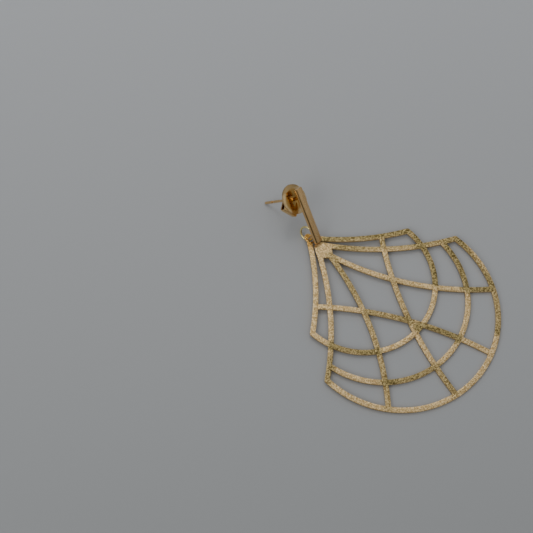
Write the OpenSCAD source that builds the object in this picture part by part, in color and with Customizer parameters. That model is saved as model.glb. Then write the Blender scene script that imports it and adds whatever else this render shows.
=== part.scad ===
// Fan earring lying on a flat surface: an openwork fan, a jump ring, a bar stud and its ear nut.
// Millimetres. X runs across the fan, Y from the fan's arc to its tab, Z up from the surface.

/* [Fan plate] */
// Thickness of the fan plate
plate_t = 0.7; // [0.5:0.05:1.1]
// Width of each strand of the openwork
strand_w = 1.4; // [1:0.05:1.8]
// Radius of the outer arc, on its centreline
outer_r = 27.3; // [25:0.1:30]
// Radius of the middle arc, on its centreline
middle_r = 24; // [22:0.1:25.5]
// Radius of the inner arc, on its centreline
inner_r = 20.1; // [18:0.1:21.5]
// Distance of the outer arc's centre below the hub
outer_drop = 15.4; // [14:0.1:18]
// Distance of the middle arc's centre below the hub
middle_drop = 9.3; // [8:0.1:11]
// Distance of the inner arc's centre below the hub
inner_drop = 3; // [2:0.1:4.5]

/* [Ribs] */
// Angle on the outer arc where the long side ribs end
long_rib_angle = 2.6; // [0:0.2:5]
// Angle on the outer arc where the middle ribs end
middle_rib_angle = -34.6; // [-40:0.2:-30]
// Angle on the outer arc where the crossing ribs end
cross_rib_angle = -73.8; // [-78:0.2:-68]
// Share of the edge rib, from the tab, where a crossing rib leaves it
cross_rib_start = 0.71; // [0.6:0.01:0.8]
// Bow radius of the edge ribs
edge_rib_bow = 70.5; // [55:0.5:100]
// Bow radius of the long side ribs
long_rib_bow = 79.6; // [65:0.5:110]
// Bow radius of the middle ribs
middle_rib_bow = 77.7; // [65:0.5:110]
// Bow radius of the crossing ribs
cross_rib_bow = 100; // [80:1:130]
// Distance by which the edge ribs start outside the tab's side
edge_rib_out = 0.55; // [0.4:0.05:0.7]
// Distance by which the edge ribs start below the tab's hole
edge_rib_down = 0.5; // [0.3:0.05:0.8]
// Distance by which the long side ribs start inside the hub's side
long_rib_in = 0.25; // [0.1:0.05:0.4]
// Distance of each middle rib's start from the fan's axis
middle_rib_off = 0.1; // [0:0.05:0.3]

/* [Hub and tab] */
// Height of the hub's neck above the hub's own origin
hub_top = 13; // [12:0.1:14]
// Half the width of the hub where the long ribs leave it
hub_half = 2.4; // [2:0.05:2.9]
// Height of the hub's straight sides above its shoulder
hub_side = 1; // [0.6:0.1:1.4]
// Height at which the long ribs leave the hub
hub_shoulder = 9.8; // [9:0.1:10.4]
// Height at which the two middle ribs part
hub_fork = 7.8; // [6.5:0.1:8.2]
// Half the width of the hub's foot, where the two middle ribs part
hub_foot_half = 0.9; // [0.7:0.05:1.1]
// Half the width of the neck
neck_half = 0.85; // [0.6:0.05:1.1]
// Height of the tab's hole above the hub's origin
tab_up = 15; // [14.8:0.05:15.5]
// Half the width of the tab, which is also the radius of its round end
tab_r = 1.1; // [1.05:0.05:1.6]
// Length of the tab's straight sides above the hole
tab_rise = 0.85; // [0.4:0.05:0.9]
// Diameter of the hole in the tab
tab_hole_d = 1.5; // [1.45:0.05:1.6]

/* [Jump ring] */
// Diameter of the jump ring, on its wire's centreline
ring_d = 4; // [3.9:0.05:4.2]
// Diameter of the ring's wire
ring_wire = 0.55; // [0.45:0.05:0.55]
// Angle between the ring's plane and the surface
ring_lean = 65; // [62:1:68]
// Direction in which the ring leans, seen from above
ring_heading = 178; // [174:1:182]
// Place of the tab's hole round the ring, from its level line
ring_at_hole = 204.5; // [203:0.1:206]
// Place of the bar's loop round the ring, from its level line
ring_at_loop = 160; // [156:0.5:162]

/* [Bar stud] */
// Length of the bar
bar_len = 16.15; // [14:0.05:20]
// Width of the bar
bar_w = 2.35; // [1.8:0.05:3]
// Thickness of the bar
bar_t = 1.05; // [0.6:0.05:1.3]
// Distance of the post below the bar's upper end
post_inset = 2.9; // [1.5:0.05:4]
// Diameter of the post
post_d = 0.75; // [0.7:0.01:0.9]
// Length of the post behind the bar
post_len = 13.8; // [13:0.1:15]
// Distance of the post's notch from its end
notch_up = 3; // [2.5:0.1:4]
// Length of the notch
notch_l = 0.5; // [0.3:0.05:0.8]
// Depth of the notch
notch_depth = 0.17; // [0.16:0.01:0.2]
// Height of the loop above the bar's lower end
loop_up = 1.9; // [1.6:0.1:2.4]
// Wire diameter of the loop
loop_wire = 0.5; // [0.4:0.05:0.6]
// Clear half width inside the loop
loop_half = 0.5; // [0.45:0.01:0.6]
// Distance of the ring's wire centre behind the bar
loop_depth = 0.8; // [0.75:0.01:1.1]
// Sideways roll of the stud as it lies
stud_roll = 22.5; // [18:0.5:26]
// Turn of the stud, seen from above
stud_turn = -3; // [-6:0.5:2]

/* [Ear nut] */
// Length of the ear nut's oval plate
oval_l = 9.2; // [8:0.1:10.5]
// Width of the oval plate
oval_w = 7.9; // [7:0.1:9]
// Thickness of the oval plate
oval_t = 0.4; // [0.3:0.05:0.6]
// Distance between the bar and the oval plate
nut_gap = 1.9; // [1:0.1:3]
// Thickness of the strip that the two wings are bent from
wing_t = 0.3; // [0.25:0.01:0.4]
// Depth of each flattened wing behind the plate
wing_h = 1.6; // [1.1:0.05:1.8]
// Width of the strip
wing_w = 4.8; // [3.5:0.1:5.2]
// Reach of the long wing from the post
long_wing = 4.45; // [4:0.05:5]
// Reach of the short wing from the post
short_wing = 3.4; // [3:0.05:4.2]
// Radius about the post at which the wings' corners end
wing_corner = 4.75; // [4.6:0.05:5.6]
// Radius of the flare at the mouth of the bore
flare_r = 0.75; // [0.65:0.05:1]
// Depth of that flare
flare_h = 0.2; // [0.1:0.05:0.25]
// Turn of the nut round the post
nut_turn = -48; // [-90:1:0]

/* [Clearances] */
// Radial clearance of the nut's bore on the post
bore_gap = 0.05; // [0.03:0.01:0.08]
// Clearance of the ring's wire inside the loop
loop_gap = 0.2; // [0.15:0.01:0.25]
// Gap between a wing's rolled-in end and the post
wing_gap = 0.15; // [0.1:0.01:0.3]
// Gap under what only just touches the surface
rest_gap = 0.02; // [0.01:0.01:0.05]

/* [Hidden] */
gold = "#c9a86a";
polished = "#d8b25c";
arc_fn = 180;
wire_fn = 48;
oval_fn = 120;
cut = 1;
// Angle by which the two halves of an arc overlap
arc_lap = 5;

// Fan plate: heights are measured from the hub's origin, with the arcs below it
fan_low = -outer_drop - outer_r - strand_w / 2;
edge_end = [inner_r, -inner_drop];
long_end = on_arc(outer_drop, outer_r, long_rib_angle);
middle_end = on_arc(outer_drop, outer_r, middle_rib_angle);
cross_end = on_arc(outer_drop, outer_r, cross_rib_angle);
edge_start = [tab_r - strand_w / 2 + edge_rib_out, tab_up - edge_rib_down];
long_start = [hub_half - long_rib_in, hub_shoulder];
middle_start = [middle_rib_off, hub_fork];
edge_centre = bow_centre(edge_start, edge_end, edge_rib_bow);
long_centre = bow_centre(long_start, long_end, long_rib_bow);
cross_start = mirrored(rib_point(edge_start, edge_end, edge_centre, cross_rib_start));
cross_centre = bow_centre(cross_end, cross_start, cross_rib_bow);
cross_meet = cross_centre[1] + sqrt(cross_rib_bow * cross_rib_bow - cross_centre[0] * cross_centre[0]);
arc_foot = -inner_drop - inner_r;

// Jump ring: leans on the surface and passes through the tab's hole, which sets the plate's lift
ring_r = ring_d / 2;
ring_level = [cos(ring_heading - 90), sin(ring_heading - 90), 0];
ring_rise = [-cos(ring_heading) * cos(ring_lean), -sin(ring_heading) * cos(ring_lean), sin(ring_lean)];
ring_z = rest_gap + ring_wire / 2 + ring_r * sin(ring_lean);
hole_z = ring_z + ring_r * sin(ring_at_hole) * sin(ring_lean);
plate_tilt = asin((hole_z - plate_t / 2) / (tab_up - fan_low));
hole_y = (tab_up - fan_low) * cos(plate_tilt) - plate_t / 2 * sin(plate_tilt);
ring_centre = [0, hole_y, hole_z] - round_ring(ring_at_hole);

// Bar stud: its loop hangs on the ring and its post's end lies on the surface
loop_at = ring_centre + round_ring(ring_at_loop);
post_r = post_d / 2;
post_reach = post_len - post_r - loop_depth;
bar_reach = bar_len - post_inset - loop_up;
drop = (loop_at[2] - post_r - rest_gap) / cos(stud_roll);
stud_pitch = atan2(post_reach, bar_reach) - asin(drop / norm([post_reach, bar_reach]));
post_end_y = loop_at[1] + post_dy();

// The whole lies with its length centred on the origin
shift_y = -(post_end_y + post_r) / 2;

function on_arc(drop, r, a) = [r * cos(a), r * sin(a) - drop];
function mirrored(p) = [-p[0], p[1]];
// Centre of the circle of radius r through p and q, on the right-hand side from p to q for r below zero
function bow_centre(p, q, r) =
    let (m = (p + q) / 2, half = norm(q - p) / 2, side = [-(q - p)[1], (q - p)[0]] / norm(q - p))
    m + side * sqrt(r * r - half * half);
function rib_point(p, q, c, share) =
    let (r = norm(p - c), a = heading(p - c), b = heading(q - c), sweep = turn(b - a))
    c + r * [cos(a + sweep * share), sin(a + sweep * share)];
function heading(v) = atan2(v[1], v[0]);
function turn(a) = a > 180 ? a - 360 : a < -180 ? a + 360 : a;
function round_ring(a) = ring_r * (cos(a) * ring_level + sin(a) * ring_rise);
// Run of the post's end along Y from the loop, once the stud is rolled, pitched and turned
function post_dy() =
    let (x = sin(stud_roll) * (bar_reach * sin(stud_pitch) - post_reach * cos(stud_pitch)),
         y = bar_reach * cos(stud_pitch) + post_reach * sin(stud_pitch))
    x * sin(stud_turn) + y * cos(stud_turn);

// Flat ring of the strand's width, from one angle to another
module arc_strand(centre, r, a0, a1) {
    reach = 2 * r;
    mid = (a0 + a1) / 2;
    translate(centre) intersection() {
        difference() {
            circle(r = r + strand_w / 2, $fn = arc_fn);
            circle(r = r - strand_w / 2, $fn = arc_fn);
        }
        polygon([[0, 0], reach * [cos(a0), sin(a0)],
            1.5 * reach * [cos(mid), sin(mid)], reach * [cos(a1), sin(a1)]]);
    }
}

// Rib of the strand's width between two points, bowed on the circle round the centre
module rib(p, q, centre) {
    a = heading(p - centre);
    b = a + turn(heading(q - centre) - a);
    arc_strand(centre, norm(p - centre), min(a, b), max(a, b));
    for (end = [p, q]) translate(end) circle(d = strand_w, $fn = wire_fn);
}

// Half of the openwork, on the right of the fan's axis
module half_fan() {
    rib(edge_start, edge_end, edge_centre);
    rib(long_start, long_end, long_centre);
    rib(middle_start, middle_end, bow_centre(middle_start, middle_end, middle_rib_bow));
    rib(cross_start, cross_end, cross_centre);
}

module fan_outline() {
    half_fan();
    mirror([1, 0]) half_fan();
    // Arcs
    for (side = [0, 1]) mirror([side, 0]) {
        arc_strand([0, -outer_drop], outer_r, -90 - arc_lap, long_rib_angle);
        arc_strand([0, -inner_drop], inner_r, -90 - arc_lap, 0);
    }
    difference() {
        for (side = [0, 1]) mirror([side, 0]) arc_strand([0, -middle_drop], middle_r, -90 - arc_lap, 0);
        for (side = [-1, 1]) translate([side * long_centre[0], long_centre[1]])
            circle(r = long_rib_bow, $fn = arc_fn);
    }
    // Web where the crossing ribs meet above the inner arc
    translate([-strand_w / 2, arc_foot]) square([strand_w, cross_meet - arc_foot]);
}

module hub_outline() {
    polygon([[-neck_half, hub_top], [neck_half, hub_top],
        [hub_half, hub_shoulder + hub_side], [hub_half, hub_shoulder],
        [hub_foot_half, hub_fork], [-hub_foot_half, hub_fork],
        [-hub_half, hub_shoulder], [-hub_half, hub_shoulder + hub_side]]);
    for (up = [0, tab_rise]) translate([0, tab_up + up]) circle(r = tab_r, $fn = wire_fn);
    translate([-tab_r, tab_up]) square([2 * tab_r, tab_rise]);
}

// Moves what is drawn in the plate's own coordinates to where the plate lies
module as_it_lies() {
    translate([0, shift_y, 0]) rotate([plate_tilt, 0, 0]) translate([0, -fan_low, 0]) children();
}

module fan_plate() {
    color(gold) as_it_lies() difference() {
        union() {
            linear_extrude(plate_t) fan_outline();
            linear_extrude(plate_t) hub_outline();
        }
        translate([0, tab_up, -cut]) cylinder(d = tab_hole_d, h = plate_t + 2 * cut, $fn = wire_fn);
    }
}

module jump_ring() {
    color(polished) translate(ring_centre + [0, shift_y, 0]) rotate([0, ring_lean, ring_heading])
        rotate_extrude($fn = arc_fn) translate([ring_r, 0]) circle(d = ring_wire, $fn = wire_fn);
}

// Places the stud: its own origin is the back of the bar's lower end, Y runs up the bar, Z out of its face
module on_stud() {
    translate(loop_at + [0, shift_y, 0]) rotate([stud_pitch, stud_roll, stud_turn])
        translate([0, -loop_up, loop_depth]) children();
}

// U-shaped wire loop, soldered across the bar's back
module loop() {
    bend_r = loop_half + loop_wire / 2;
    bend_z = -(loop_depth + ring_wire / 2 + loop_gap - loop_half);
    translate([0, loop_up, 0]) {
        for (side = [-1, 1]) translate([side * bend_r, 0, bend_z])
            cylinder(d = loop_wire, h = -bend_z + bar_t / 2, $fn = wire_fn);
        translate([0, 0, bend_z]) rotate([90, 0, 0]) rotate([0, 0, 180])
            rotate_extrude(angle = 180, $fn = arc_fn) translate([bend_r, 0])
                circle(d = loop_wire, $fn = wire_fn);
    }
}

// Straight post with a notch near its rounded end
module post() {
    translate([0, 0, post_r - post_len]) {
        sphere(d = post_d, $fn = wire_fn);
        cylinder(d = post_d, h = notch_up - post_r, $fn = wire_fn);
    }
    translate([0, 0, notch_up - post_len - notch_l])
        cylinder(d = post_d - 2 * notch_depth, h = 3 * notch_l, $fn = wire_fn);
    translate([0, 0, notch_up - post_len + notch_l])
        cylinder(d = post_d, h = post_len - notch_up - notch_l + bar_t / 2, $fn = wire_fn);
}

module bar_stud() {
    color(polished) on_stud() {
        translate([-bar_w / 2, 0, 0]) cube([bar_w, bar_len, bar_t]);
        translate([0, bar_len - post_inset, 0]) post();
        loop();
    }
}

// Section of one wing: the strip runs out along the plate, rolls over and comes back to the post
module wing_section(reach) {
    roll_r = wing_h / 2;
    inner_end = post_r + bore_gap + wing_gap + wing_t / 2;
    square([reach - roll_r, wing_t]);
    translate([reach - roll_r, roll_r]) intersection() {
        difference() {
            circle(r = roll_r, $fn = wire_fn);
            circle(r = roll_r - wing_t, $fn = wire_fn);
        }
        translate([0, -roll_r]) square([roll_r, wing_h]);
    }
    translate([inner_end, wing_h - wing_t]) square([reach - roll_r - inner_end, wing_t]);
    translate([inner_end, wing_h - wing_t / 2]) circle(d = wing_t, $fn = wire_fn);
}

module wing(reach) {
    translate([wing_w / 2, 0, oval_t]) rotate([90, 0, -90]) linear_extrude(wing_w) wing_section(reach);
}

// The nut's own Z runs from the bar towards the post's end
module ear_nut() {
    bore_r = post_r + bore_gap;
    depth = oval_t + wing_h;
    color(polished) on_stud() translate([0, bar_len - post_inset, -nut_gap])
    rotate([180, 0, nut_turn]) difference() {
        union() {
            linear_extrude(oval_t)
                polygon([for (i = [0:oval_fn - 1])
                    [oval_l / 2 * cos(360 * i / oval_fn), oval_w / 2 * sin(360 * i / oval_fn)]]);
            intersection() {
                union() {
                    wing(short_wing);
                    rotate([0, 0, 180]) wing(long_wing);
                }
                cylinder(r = wing_corner, h = depth, $fn = arc_fn);
            }
        }
        translate([0, 0, -cut]) cylinder(r = bore_r, h = depth + 2 * cut, $fn = wire_fn);
        cylinder(r1 = flare_r, r2 = bore_r, h = flare_h, $fn = wire_fn);
    }
}

fan_plate();
jump_ring();
bar_stud();
ear_nut();
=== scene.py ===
import math
import bpy
import bmesh
from mathutils import Matrix, Vector


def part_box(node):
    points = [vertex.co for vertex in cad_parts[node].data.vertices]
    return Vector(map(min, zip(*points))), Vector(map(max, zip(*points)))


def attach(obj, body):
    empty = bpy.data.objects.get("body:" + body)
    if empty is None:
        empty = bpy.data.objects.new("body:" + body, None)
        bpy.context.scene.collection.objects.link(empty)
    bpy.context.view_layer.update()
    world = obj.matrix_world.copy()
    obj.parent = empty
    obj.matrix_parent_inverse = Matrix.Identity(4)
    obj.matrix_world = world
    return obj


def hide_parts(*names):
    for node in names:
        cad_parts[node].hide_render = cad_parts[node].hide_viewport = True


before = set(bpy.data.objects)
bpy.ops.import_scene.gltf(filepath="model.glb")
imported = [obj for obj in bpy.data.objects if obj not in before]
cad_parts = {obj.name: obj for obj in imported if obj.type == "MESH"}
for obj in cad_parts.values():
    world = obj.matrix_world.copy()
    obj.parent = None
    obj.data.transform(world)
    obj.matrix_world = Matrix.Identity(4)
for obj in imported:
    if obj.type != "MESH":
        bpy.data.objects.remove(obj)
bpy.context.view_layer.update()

MM = 0.001
# Points closer than this are welded into one, in metres
WELD = 2e-6
# Faces that meet at less than this angle are one flat face
COPLANAR = math.radians(0.4)
# Edges that turn by more than this angle are sharp
SHARP = math.radians(35.0)
# Upward share of a normal past which a face counts as flat
FLAT = 0.97


# Meshes

def select_only(ob):
    for other in bpy.context.selected_objects:
        other.select_set(False)
    bpy.context.view_layer.objects.active = ob
    ob.select_set(True)


def round_edges(ob, width, segments):
    """Rounds the weighted edges of the selected object, by a width in millimetres."""
    mod = ob.modifiers.new("edge", "BEVEL")
    mod.width = width * MM
    mod.segments = segments
    mod.limit_method = "WEIGHT"
    mod.use_clamp_overlap = True
    mod.miter_outer = "MITER_ARC"
    bpy.ops.object.modifier_apply(modifier=mod.name)


def clean_copy(node, name, width, segments, longer):
    """The node's own form as one welded mesh.

    Its sharp edges that are longer than the given length are rounded by the width, both in millimetres.
    """
    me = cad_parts[node].data.copy()
    me.name = name
    bm = bmesh.new()
    bm.from_mesh(me)
    bmesh.ops.remove_doubles(bm, verts=bm.verts, dist=WELD)
    bmesh.ops.dissolve_limit(bm, angle_limit=COPLANAR, verts=bm.verts, edges=bm.edges)
    weight = bm.edges.layers.float.new("bevel_weight_edge")
    for e in bm.edges:
        if e.is_manifold and e.calc_length() > longer * MM and e.calc_face_angle() > SHARP:
            e[weight] = 1.0
    for f in bm.faces:
        f.smooth = True
    bm.to_mesh(me)
    bm.free()
    ob = bpy.data.objects.new(name, me)
    bpy.context.scene.collection.objects.link(ob)
    select_only(ob)
    if width > 0:
        round_edges(ob, width, segments)
    if ob.data.has_custom_normals:
        bpy.ops.mesh.customdata_custom_splitnormals_clear()
    ob.data.set_sharp_from_angle(angle=SHARP)
    return ob


# Painted shade: stretches of the openwork painted darker than the rest, standing for strands tilted so that
# they reflect less light. Each has its two ends, in millimetres in the row frame, and its strength.
PAINTED_SHADE_STRETCHES = [
    ((2.5, 18.7), (19.9, 2.7), 1.0),
    ((3.5, 13.3), (26.1, -7.4), 0.8),
    ((20.3, -0.5), (13.6, -12.3), 1.0),
    ((24.4, -8.3), (18.0, -19.3), 1.0),
    ((27.1, -9.6), (22.4, -24.0), 1.0),
    ((21.4, -25.6), (13.8, -33.1), 0.75),
    ((18.1, -20.4), (22.0, -24.3), 1.0),
    ((-0.3, 13.1), (-5.3, -0.7), 0.75),
    ((-6.0, -4.4), (-0.1, -14.2), 0.8),
    ((0.4, -17.2), (4.7, -26.2), 1.0),
    ((-5.0, -28.3), (-7.4, -34.7), 0.7),
    ((-19.1, -3.7), (-12.6, -13.2), 1.0),
    ((-17.2, -20.4), (-6.5, -27.0), 0.9),
    ((-22.5, -5.6), (-27.2, -8.4), 0.7),
    ((-6.9, -4.2), (-12.2, -12.9), 0.6),
    ((-13.0, -14.0), (-21.7, -24.4), 0.55),
    ((5.5, -4.0), (0.6, -14.5), 0.35),
]
# Distances from the middle of a stretch, in millimetres: full strength up to the first, none past the second
CORE = 0.9
REACH = 2.3
# Longest edge that a flat face keeps, in millimetres, so that its points can hold the painted shade
LONGEST = 0.8


def long_flat_edges(bm):
    """Edges of the flat faces that are too long, longest first and at most one to a triangle."""
    edges = [e for e in bm.edges
             if e.calc_length() > LONGEST * MM and any(abs(f.normal.z) > FLAT for f in e.link_faces)]
    taken, picked = set(), []
    for e in sorted(edges, key=lambda e: -e.calc_length()):
        if taken.isdisjoint(e.link_faces):
            picked.append(e)
            taken.update(e.link_faces)
    return picked


def split_flat_faces(ob):
    """Halves the long edges of the flat faces, and joins each new point to the corner across from it."""
    bm = bmesh.new()
    bm.from_mesh(ob.data)
    bmesh.ops.triangulate(bm, faces=bm.faces)
    while picked := long_flat_edges(bm):
        for e in picked:
            faces = list(e.link_faces)
            middle = bmesh.utils.edge_split(e, e.verts[0], 0.5)[1]
            for f in faces:
                corner = next(loop for loop in f.loops if loop.vert == middle)
                bmesh.utils.face_split(f, middle, corner.link_loop_next.link_loop_next.vert)
    bm.to_mesh(ob.data)
    bm.free()


def clamped(value):
    return max(0.0, min(1.0, value))


def painted_shade_share(x, y):
    """Strength of the painted shade at a point in millimetres, from 0 to 1."""
    best = 0.0
    for (ax, ay), (bx, by), strength in PAINTED_SHADE_STRETCHES:
        ux, uy = bx - ax, by - ay
        along = clamped(((x - ax) * ux + (y - ay) * uy) / (ux * ux + uy * uy))
        away = math.hypot(x - ax - along * ux, y - ay - along * uy)
        k = clamped((REACH - away) / (REACH - CORE))
        best = max(best, strength * k * k * (3 - 2 * k))
    return best


def painted_shade(ob):
    """Splits the flat faces finely enough to hold the stretches of painted shade, and stores them on the
    mesh.
    """
    split_flat_faces(ob)
    values = [painted_shade_share(v.co.x / MM, v.co.y / MM) for v in ob.data.vertices]
    ob.data.attributes.new("painted_shade", "FLOAT", "POINT").data.foreach_set("value", values)
    ob.data.set_sharp_from_angle(angle=SHARP)


# Materials

# Places of a mix node's sockets, for colours and for numbers
COLOUR_A, COLOUR_B, COLOUR_OUT = 6, 7, 2
NUMBER_A, NUMBER_B, NUMBER_OUT = 2, 3, 0
# Two spans that hold most of a noise's values, and the whole span of a factor
MID = (0.35, 0.65)
WIDE = (0.3, 0.7)
WHOLE = (0.0, 1.0)
UP = (0.0, 0.0, 1.0)


class Nodes:
    """Short calls for building the node tree of a material or a world."""

    def __init__(self, owner):
        owner.use_nodes = True
        self.tree = owner.node_tree
        self.tree.nodes.clear()

    def new(self, kind, **values):
        n = self.tree.nodes.new(kind)
        for k, v in values.items():
            setattr(n, k, v)
        return n

    def link(self, a, b):
        self.tree.links.new(a, b)

    def place(self):
        return self.new("ShaderNodeTexCoord").outputs["Object"]

    def noise(self, vec, scale, detail, rough=0.5):
        n = self.new("ShaderNodeTexNoise")
        n.inputs["Scale"].default_value = scale
        n.inputs["Detail"].default_value = detail
        n.inputs["Roughness"].default_value = rough
        self.link(vec, n.inputs["Vector"])
        return n.outputs["Fac"]

    def remap(self, value, span, to, smooth=False):
        """Value of a socket moved from one span to another, and held at the ends of the second."""
        n = self.new("ShaderNodeMapRange", interpolation_type="SMOOTHSTEP" if smooth else "LINEAR")
        n.inputs["From Min"].default_value, n.inputs["From Max"].default_value = span
        n.inputs["To Min"].default_value, n.inputs["To Max"].default_value = to
        self.link(value, n.inputs["Value"])
        return n.outputs["Result"]

    def math(self, op, a, b):
        n = self.new("ShaderNodeMath", operation=op)
        for i, v in enumerate((a, b)):
            if isinstance(v, float):
                n.inputs[i].default_value = v
            else:
                self.link(v, n.inputs[i])
        return n.outputs[0]

    def vector(self, op, a, b=None):
        """Vector operation on a socket, and on a constant vector where it takes two."""
        n = self.new("ShaderNodeVectorMath", operation=op)
        self.link(a, n.inputs[0])
        if b is not None:
            n.inputs[1].default_value = b
        return n.outputs

    def dot(self, vec, direction):
        return self.vector("DOT_PRODUCT", vec, direction)["Value"]

    def mix(self, fac, a, b):
        """Mix of two colours, each a socket or a constant."""
        n = self.new("ShaderNodeMix", data_type="RGBA")
        self.link(fac, n.inputs[0])
        for i, v in ((COLOUR_A, a), (COLOUR_B, b)):
            if isinstance(v, tuple):
                n.inputs[i].default_value = v + (1.0,)
            else:
                self.link(v, n.inputs[i])
        return n.outputs[COLOUR_OUT]

    def mix_numbers(self, fac, a, b):
        n = self.new("ShaderNodeMix", data_type="FLOAT")
        self.link(fac, n.inputs[0])
        self.link(a, n.inputs[NUMBER_A])
        self.link(b, n.inputs[NUMBER_B])
        return n.outputs[NUMBER_OUT]

    def bump(self, height, strength, distance, normal=None):
        n = self.new("ShaderNodeBump")
        n.inputs["Strength"].default_value = strength
        n.inputs["Distance"].default_value = distance
        self.link(height, n.inputs["Height"])
        if normal is not None:
            self.link(normal, n.inputs["Normal"])
        return n.outputs["Normal"]

    def finish(self, base, rough, normal, metallic=1.0):
        p = self.new("ShaderNodeBsdfPrincipled")
        p.inputs["Metallic"].default_value = metallic
        self.link(base, p.inputs["Base Color"])
        self.link(rough, p.inputs["Roughness"])
        self.link(normal, p.inputs["Normal"])
        out = self.new("ShaderNodeOutputMaterial")
        self.link(p.outputs[0], out.inputs["Surface"])
        return p


def duller(tone, share):
    return tuple(c * share for c in tone)


# Polished plating: scales of its haze, its scratches and its unevenness, in cells to the metre
HAZE = 900.0
SCRATCHES = 9000.0
WAVES = 420.0
# Least and most share of the roughness under the haze
HAZE_ROUGH = (0.7, 1.3)
# Values of the noise over which the scratches set in, and how much rougher they are
SCRATCH_SPAN = (0.4, 0.7)
SCRATCH_ROUGH = 0.05
# Depths of the unevenness and of the scratches, in metres, and how strongly the scratches show
WAVE_DEPTH = 0.0003
SCRATCH_DEPTH = 0.00001
SCRATCH_STRENGTH = 0.05
# Brushed streaks: cells to the metre across and along the brushing
STREAKS_ACROSS = 4200.0
STREAKS_ALONG = 260.0
# Streaks' tone: values of the noise over which it fades, how far it shows, and its share of the deep tone
STREAK_SPAN = (0.38, 0.62)
STREAK_SHOWS = 0.30
STREAK_TONE = 0.55
# Streaks' roughness: values of the noise over which it fades, and how much rougher they are
STREAK_ROUGH_SPAN = (0.4, 0.6)
STREAK_ROUGH = 0.06
# Painted darker reflection on the far side of a piece: where it sets in, in metres past the axis point, and
# its share of the deep tone
FAR_SPAN = (0.0022, 0.0032)
FAR_REFLECTION_SHARE = 0.72
# Share of the reach of a painted reflection about an axis from which it fades
FADE_FROM = 0.8
# Share of the normal along a rounded edge's direction over which its painted dark reflection sets in
EDGE_SPAN = (0.72, 0.86)


def brush_streaks(n, vec, across, along):
    """Noise drawn out along the brushing."""
    lay = n.new("ShaderNodeCombineXYZ")
    n.link(n.math("MULTIPLY", n.dot(vec, across), STREAKS_ACROSS), lay.inputs[0])
    n.link(n.math("MULTIPLY", n.dot(vec, along), STREAKS_ALONG), lay.inputs[1])
    return n.noise(lay.outputs[0], 1.0, detail=2.0)


def paint_reflection_about_axis(n, vec, tone, deep, point, axis, reach, painted_tone, far):
    """Paints a reflection into the tone near an axis, and a darker painted reflection towards far where that
    is given.
    """
    off = n.vector("SUBTRACT", vec, point)[0]
    away = n.vector("LENGTH", n.vector("CROSS_PRODUCT", off, axis)[0])["Value"]
    if far:
        painted_far_side = n.remap(n.dot(off, far), FAR_SPAN, WHOLE, smooth=True)
        tone = n.mix(painted_far_side, tone, duller(deep, FAR_REFLECTION_SHARE))
    near = n.remap(away, (reach * FADE_FROM, reach), (1.0, 0.0), smooth=True)
    return n.mix(near, tone, painted_tone)


def paint_edge_reflection(n, tone, direction, dark):
    """Paints a dark reflection onto the rounded edge that looks along a direction."""
    normal = n.new("ShaderNodeNewGeometry").outputs["Normal"]
    return n.mix(n.remap(n.dot(normal, direction), EDGE_SPAN, WHOLE, smooth=True), tone, dark)


def polished_gold(name, base, deep, rough, wave, reflection_about_axis=None, edge=None, brushed=None):
    """Polished plating with faint haze, hairline scratches and a slightly uneven surface.

    The argument about an axis is (axis point, axis, reach, painted tone, far) for a painted reflection, edge
    is (direction, tone) for a painted dark reflection, and brushed is the directions across and along the
    brushing.
    """
    mat = bpy.data.materials.new(name)
    n = Nodes(mat)
    vec = n.place()
    haze = n.noise(vec, HAZE, detail=3.0)
    scratches = n.noise(vec, SCRATCHES, detail=2.0)
    tone = n.mix(n.remap(haze, MID, WHOLE), base, deep)
    roughness = n.math("ADD", n.remap(haze, WIDE, [rough * share for share in HAZE_ROUGH]),
                       n.remap(scratches, SCRATCH_SPAN, (0.0, SCRATCH_ROUGH)))
    if brushed:
        streak = brush_streaks(n, vec, *brushed)
        tone = n.mix(n.remap(streak, STREAK_SPAN, (STREAK_SHOWS, 0.0)), tone, duller(deep, STREAK_TONE))
        roughness = n.math("ADD", roughness, n.remap(streak, STREAK_ROUGH_SPAN, (STREAK_ROUGH, 0.0)))
    # Painted reflection about an axis
    if reflection_about_axis:
        tone = paint_reflection_about_axis(n, vec, tone, deep, *reflection_about_axis)
    # Painted dark reflection on a rounded edge
    if edge:
        tone = paint_edge_reflection(n, tone, *edge)
    normal = n.bump(n.noise(vec, WAVES, detail=1.0), wave, WAVE_DEPTH)
    normal = n.bump(scratches, SCRATCH_STRENGTH, SCRATCH_DEPTH, normal)
    n.finish(tone, roughness, normal)
    return mat


# Blasted plating: scales of its grain, its finer grain and its patches, in cells to the metre
GRAIN = 2300.0
FINE_GRAIN = 4200.0
PATCHES = 160.0
# How much of their smallest detail the grains show, the share of each, and the depth in metres
GRAIN_DETAIL = 0.6
GRAIN_SHARE = 0.65
FINE_SHARE = 0.35
GRAIN_DEPTH = 0.00016
# Values of the grain from its pits to its crests
PIT_TO_CREST = (0.44, 0.57)
# Tones from the pits to the crests: as blasted, in the stretches of painted shade, and on the tab with its
# painted reflection
BRIGHT = ((0.47, 0.31, 0.13), (0.885, 0.655, 0.335))
PAINTED_SHADE_OLIVE = ((0.115, 0.085, 0.026), (0.50, 0.385, 0.17))
PAINTED_TAB_REFLECTION = ((0.34, 0.18, 0.035), (0.95, 0.60, 0.20))
# Tone of the cut edges
CUT_EDGE = (0.80, 0.55, 0.24)
# What the random patches take from the painted shade and what they add to it, at most
PATCH_SHARE = (-0.12, 0.16)
# Stretch along Y over which the tab's painted reflection of the bar's gold sets in, in metres
TAB_SPAN = (0.0180, 0.0200)
# Upward or downward share of a normal over which a cut edge passes into a face
FACE_SPAN = (0.9, 0.99)
# Least and most roughness of the cut edges and of the faces
CUT_EDGE_ROUGH = (0.20, 0.30)
FACE_ROUGH = (0.26, 0.48)


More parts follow.
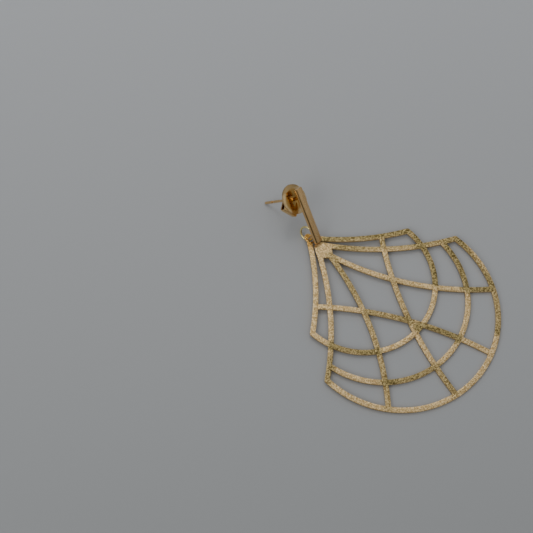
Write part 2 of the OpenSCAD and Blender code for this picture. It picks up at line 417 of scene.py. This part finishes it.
def blasted_gold(name):
    """Plated plate: its faces are blasted to a fine sparkling grain, and its cut edges are left smooth."""
    mat = bpy.data.materials.new(name)
    n = Nodes(mat)
    vec = n.place()
    normal = n.new("ShaderNodeNewGeometry").outputs["True Normal"]
    face = n.remap(n.math("ABSOLUTE", n.dot(normal, UP), 0.0), FACE_SPAN, WHOLE)
    coarse = n.noise(vec, GRAIN, detail=2.0, rough=GRAIN_DETAIL)
    fine = n.noise(vec, FINE_GRAIN, detail=2.0, rough=GRAIN_DETAIL)
    grit = n.math("ADD", n.math("MULTIPLY", coarse, GRAIN_SHARE), n.math("MULTIPLY", fine, FINE_SHARE))
    worn = n.remap(grit, PIT_TO_CREST, WHOLE)
    # Strength of the painted shade stored on the mesh: the darker olive tone stands in for strands that
    # reflect less light
    painted_shade_strength = n.new("ShaderNodeAttribute", attribute_name="painted_shade").outputs["Fac"]
    painted_shade_and_patches = n.math("ADD", painted_shade_strength, n.remap(n.noise(vec, PATCHES, detail=1.0), MID, PATCH_SHARE))
    body = n.mix(n.remap(painted_shade_and_patches, WHOLE, WHOLE), n.mix(worn, *BRIGHT), n.mix(worn, *PAINTED_SHADE_OLIVE))
    # Painted reflection: the tab under the bar's lower end is painted deeper orange, as if the bar's gold
    # reflected in it
    on_tab = n.remap(n.dot(vec, (0.0, 1.0, 0.0)), TAB_SPAN, WHOLE, smooth=True)
    body = n.mix(on_tab, body, n.mix(worn, *PAINTED_TAB_REFLECTION))
    roughness = n.mix_numbers(face, n.remap(fine, MID, CUT_EDGE_ROUGH), n.remap(fine, MID, FACE_ROUGH))
    n.finish(n.mix(face, CUT_EDGE, body), roughness,
             n.bump(n.math("MULTIPLY", grit, face), 1.0, GRAIN_DEPTH))
    return mat


# Paper: scales of its mottling and its tooth, in cells to the metre
MOTTLE = 9.0
TOOTH = 2500.0
# Depth of the tooth in metres, and how strongly it shows
TOOTH_DEPTH = 0.00002
TOOTH_STRENGTH = 0.03
# Tone of the paper, and the share of it that is left where the mottling is darkest
PAPER_TONE = (0.512, 0.525, 0.540)
MOTTLE_TONE = 0.985
# Least and most roughness, and how strongly the paper shines
PAPER_ROUGH = (0.55, 0.62)
PAPER_SHINE = 0.25
# Painted shade, standing for light that falls off: direction in which the paper grows paler, the stretch
# over which it does, in metres, and the share of its tone that is left at the dark end
PALER_ALONG = (0.74, 0.67, 0.0)
PALER_SPAN = (-0.09, 0.12)
PAINTED_FALLOFF_SHARE = (0.625, 0.625, 0.61)


def paper(name):
    """Smooth pale paper with the faintest mottling and tooth."""
    mat = bpy.data.materials.new(name)
    n = Nodes(mat)
    vec = n.place()
    mottle = n.noise(vec, MOTTLE, detail=2.0)
    base = n.mix(n.remap(mottle, MID, WHOLE), duller(PAPER_TONE, MOTTLE_TONE), PAPER_TONE)
    # Painted shade: the paper darkens towards one end, where the light falls off
    dark = n.remap(n.dot(vec, PALER_ALONG), PALER_SPAN, (1.0, 0.0))
    base = n.mix(dark, base, tuple(c * k for c, k in zip(PAPER_TONE, PAINTED_FALLOFF_SHARE)))
    normal = n.bump(n.noise(vec, TOOTH, detail=2.0), TOOTH_STRENGTH, TOOTH_DEPTH)
    p = n.finish(base, n.remap(mottle, WIDE, PAPER_ROUGH), normal, metallic=0.0)
    p.inputs["Specular IOR Level"].default_value = PAPER_SHINE
    return mat


# Pieces

# Directions of the stud in the row frame: across the bar, up the bar, along the post, and out of the
# bar's rounded edge that gets a painted dark reflection
ACROSS = (0.9223, -0.0477, -0.3836)
ALONG = (0.28356, 0.75795, 0.58752)
POST_AXIS = (0.26164, -0.65055, 0.71298)
BAR_EDGE = (-0.4669, -0.4260, 0.7749)
POST_POINT = tuple((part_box("ear_nut")[0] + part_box("ear_nut")[1]) / 2)
RING_AXIS = (-0.9058, 0.0316, 0.4226)
RING_CENTRE = tuple((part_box("jump_ring")[0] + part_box("jump_ring")[1]) / 2)

# Base tone of each polished piece, and the deep tone that its haze brings in
BAR_TONES = ((0.87, 0.59, 0.285), (0.81, 0.52, 0.23))
NUT_TONES = ((0.88, 0.65, 0.35), (0.78, 0.54, 0.25))
RING_TONES = ((1.0, 0.90, 0.46), (0.99, 0.84, 0.36))
# Painted dark reflection along the bar's rounded edge
BAR_EDGE_PAINTED_REFLECTION = (0.16, 0.10, 0.035)
# Painted reflections: deeper orange about the nut's post, where the bar's back reflects, and darker inside
# the ring, and how far from the axis they reach, in metres
NUT_PAINTED_REFLECTION = (0.51, 0.30, 0.085)
NUT_REACH = 0.0034
RING_PAINTED_REFLECTION = (0.42, 0.29, 0.08)
RING_REACH = 0.00196

plate_mat = blasted_gold("blasted_gold")
bar_mat = polished_gold("polished_gold_bar", *BAR_TONES, rough=0.18, wave=0.03,
                        edge=(BAR_EDGE, BAR_EDGE_PAINTED_REFLECTION), brushed=(ACROSS, ALONG))
# Painted reflections: the nut's about its post and darker on its far side along ALONG, the ring's darker on
# its inside
nut_mat = polished_gold("polished_gold_nut", *NUT_TONES, rough=0.15, wave=0.45,
                        reflection_about_axis=(POST_POINT, POST_AXIS, NUT_REACH, NUT_PAINTED_REFLECTION, ALONG))
ring_mat = polished_gold("polished_gold_ring", *RING_TONES, rough=0.20, wave=0.10,
                         reflection_about_axis=(RING_CENTRE, RING_AXIS, RING_REACH, RING_PAINTED_REFLECTION, None))

# Node, piece, rounding of its edges (width, segments, and only on edges longer than), material, slot, body
PIECES = [
    ("fan_plate", "fan_openwork", (0.08, 2, 0.0), plate_mat, "textured_gold", "earring"),
    ("jump_ring", "ring_wire", (0.0, 0, 0.0), ring_mat, "polished_gold", "earring"),
    ("bar_stud", "stud_with_post", (0.22, 4, 1.0), bar_mat, "polished_gold", "earring"),
    ("ear_nut", "nut_with_wings", (0.05, 2, 0.0), nut_mat, "polished_gold", "nut"),
]
for node, name, rounding, mat, slot, body in PIECES:
    ob = clean_copy(node, name, *rounding)
    ob.data.materials.clear()
    ob.data.materials.append(mat)
    if node == "fan_plate":
        # Stores the stretches of painted shade on the openwork
        painted_shade(ob)
    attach(ob, body)
    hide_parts(node)
    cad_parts[node].data.materials.clear()
    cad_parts[node].data.materials.append(mat)


# Surface that the earring lies on

# Its side in metres, and the cells of its mesh along each side
FLOOR_SIZE = 3.0
FLOOR_CELLS = 8


def floor_sheet(mat):
    me = bpy.data.meshes.new("floor")
    bm = bmesh.new()
    bmesh.ops.create_grid(bm, x_segments=FLOOR_CELLS, y_segments=FLOOR_CELLS, size=FLOOR_SIZE / 2)
    bm.to_mesh(me)
    bm.free()
    ob = bpy.data.objects.new("floor", me)
    bpy.context.scene.collection.objects.link(ob)
    ob.data.materials.append(mat)


floor_sheet(paper("paper"))


# Light

# Name, place, side in metres, power in watts and tint of each softbox
SOFTBOXES = [
    ("box_key", (0.36, 0.44, 0.66), 1.00, 1.7, (1.0, 0.99, 0.97)),
    ("box_spark", (0.22, 0.36, 0.72), 0.18, 0.5, (1.0, 1.0, 1.0)),
    ("box_left", (-0.55, 0.10, 0.45), 0.45, 1.2, (1.0, 1.0, 1.0)),
]
# Strength of the room's light from the horizon up, and the rise over which it grows
ROOM = (0.13, 0.44)
ROOM_RISE = (0.0, 0.7)
ROOM_TINT = (0.97, 0.99, 1.02, 1.0)
# Lighter wall beside the earring: its direction, the share of a ray along it over which the wall sets
# in, and its strength
WALL_WAY = (0.69, -0.71, 0.12)
WALL_SPAN = (0.5, 1.0)
WALL = (0.0, 0.16)


def softbox(name, place, side, power, tint):
    """Square light that faces the origin."""
    data = bpy.data.lights.new(name, "AREA")
    data.shape = "RECTANGLE"
    data.size = side
    data.size_y = side
    data.energy = power
    data.color = tint
    ob = bpy.data.objects.new(name, data)
    bpy.context.scene.collection.objects.link(ob)
    ob.location = place
    ob.rotation_euler = (-Vector(place)).to_track_quat("-Z", "Y").to_euler()


def studio_world():
    """Grey room that is brighter overhead, with one lighter wall."""
    world = bpy.data.worlds.new("studio")
    bpy.context.scene.world = world
    n = Nodes(world)
    way = n.new("ShaderNodeTexCoord").outputs["Generated"]
    room = n.remap(n.dot(way, UP), ROOM_RISE, ROOM)
    wall = n.remap(n.dot(way, WALL_WAY), WALL_SPAN, WALL, smooth=True)
    back = n.new("ShaderNodeBackground")
    back.inputs["Color"].default_value = ROOM_TINT
    n.link(n.math("ADD", room, wall), back.inputs["Strength"])
    n.link(back.outputs[0], n.new("ShaderNodeOutputWorld").inputs["Surface"])


for values in SOFTBOXES:
    softbox(*values)
studio_world()


# Camera, at the photograph's angle

# Place of the lens in metres, and the directions to the right and up in the picture
EYE = (-0.10292, -0.04419, 0.27054)
VIEW_RIGHT = (0.6632, -0.7479, 0.0287)
VIEW_UP = (0.6835, 0.6208, 0.3838)
# Focal length and width of the sensor, in millimetres
LENS = 72.90
SENSOR = 36.0
# Nearest and farthest distance that it sees, in metres
CLIP = (0.01, 10.0)


def photo_camera():
    right = Vector(VIEW_RIGHT).normalized()
    up = Vector(VIEW_UP)
    up = (up - right * up.dot(right)).normalized()
    back = right.cross(up).normalized()
    data = bpy.data.cameras.new("camera")
    data.sensor_width = SENSOR
    data.lens = LENS
    data.clip_start, data.clip_end = CLIP
    cam = bpy.data.objects.new("camera", data)
    bpy.context.scene.collection.objects.link(cam)
    rows = [(right[i], up[i], back[i], EYE[i]) for i in range(3)]
    cam.matrix_world = Matrix(rows + [(0.0, 0.0, 0.0, 1.0)])
    bpy.context.scene.camera = cam


photo_camera()

bpy.context.view_layer.update()
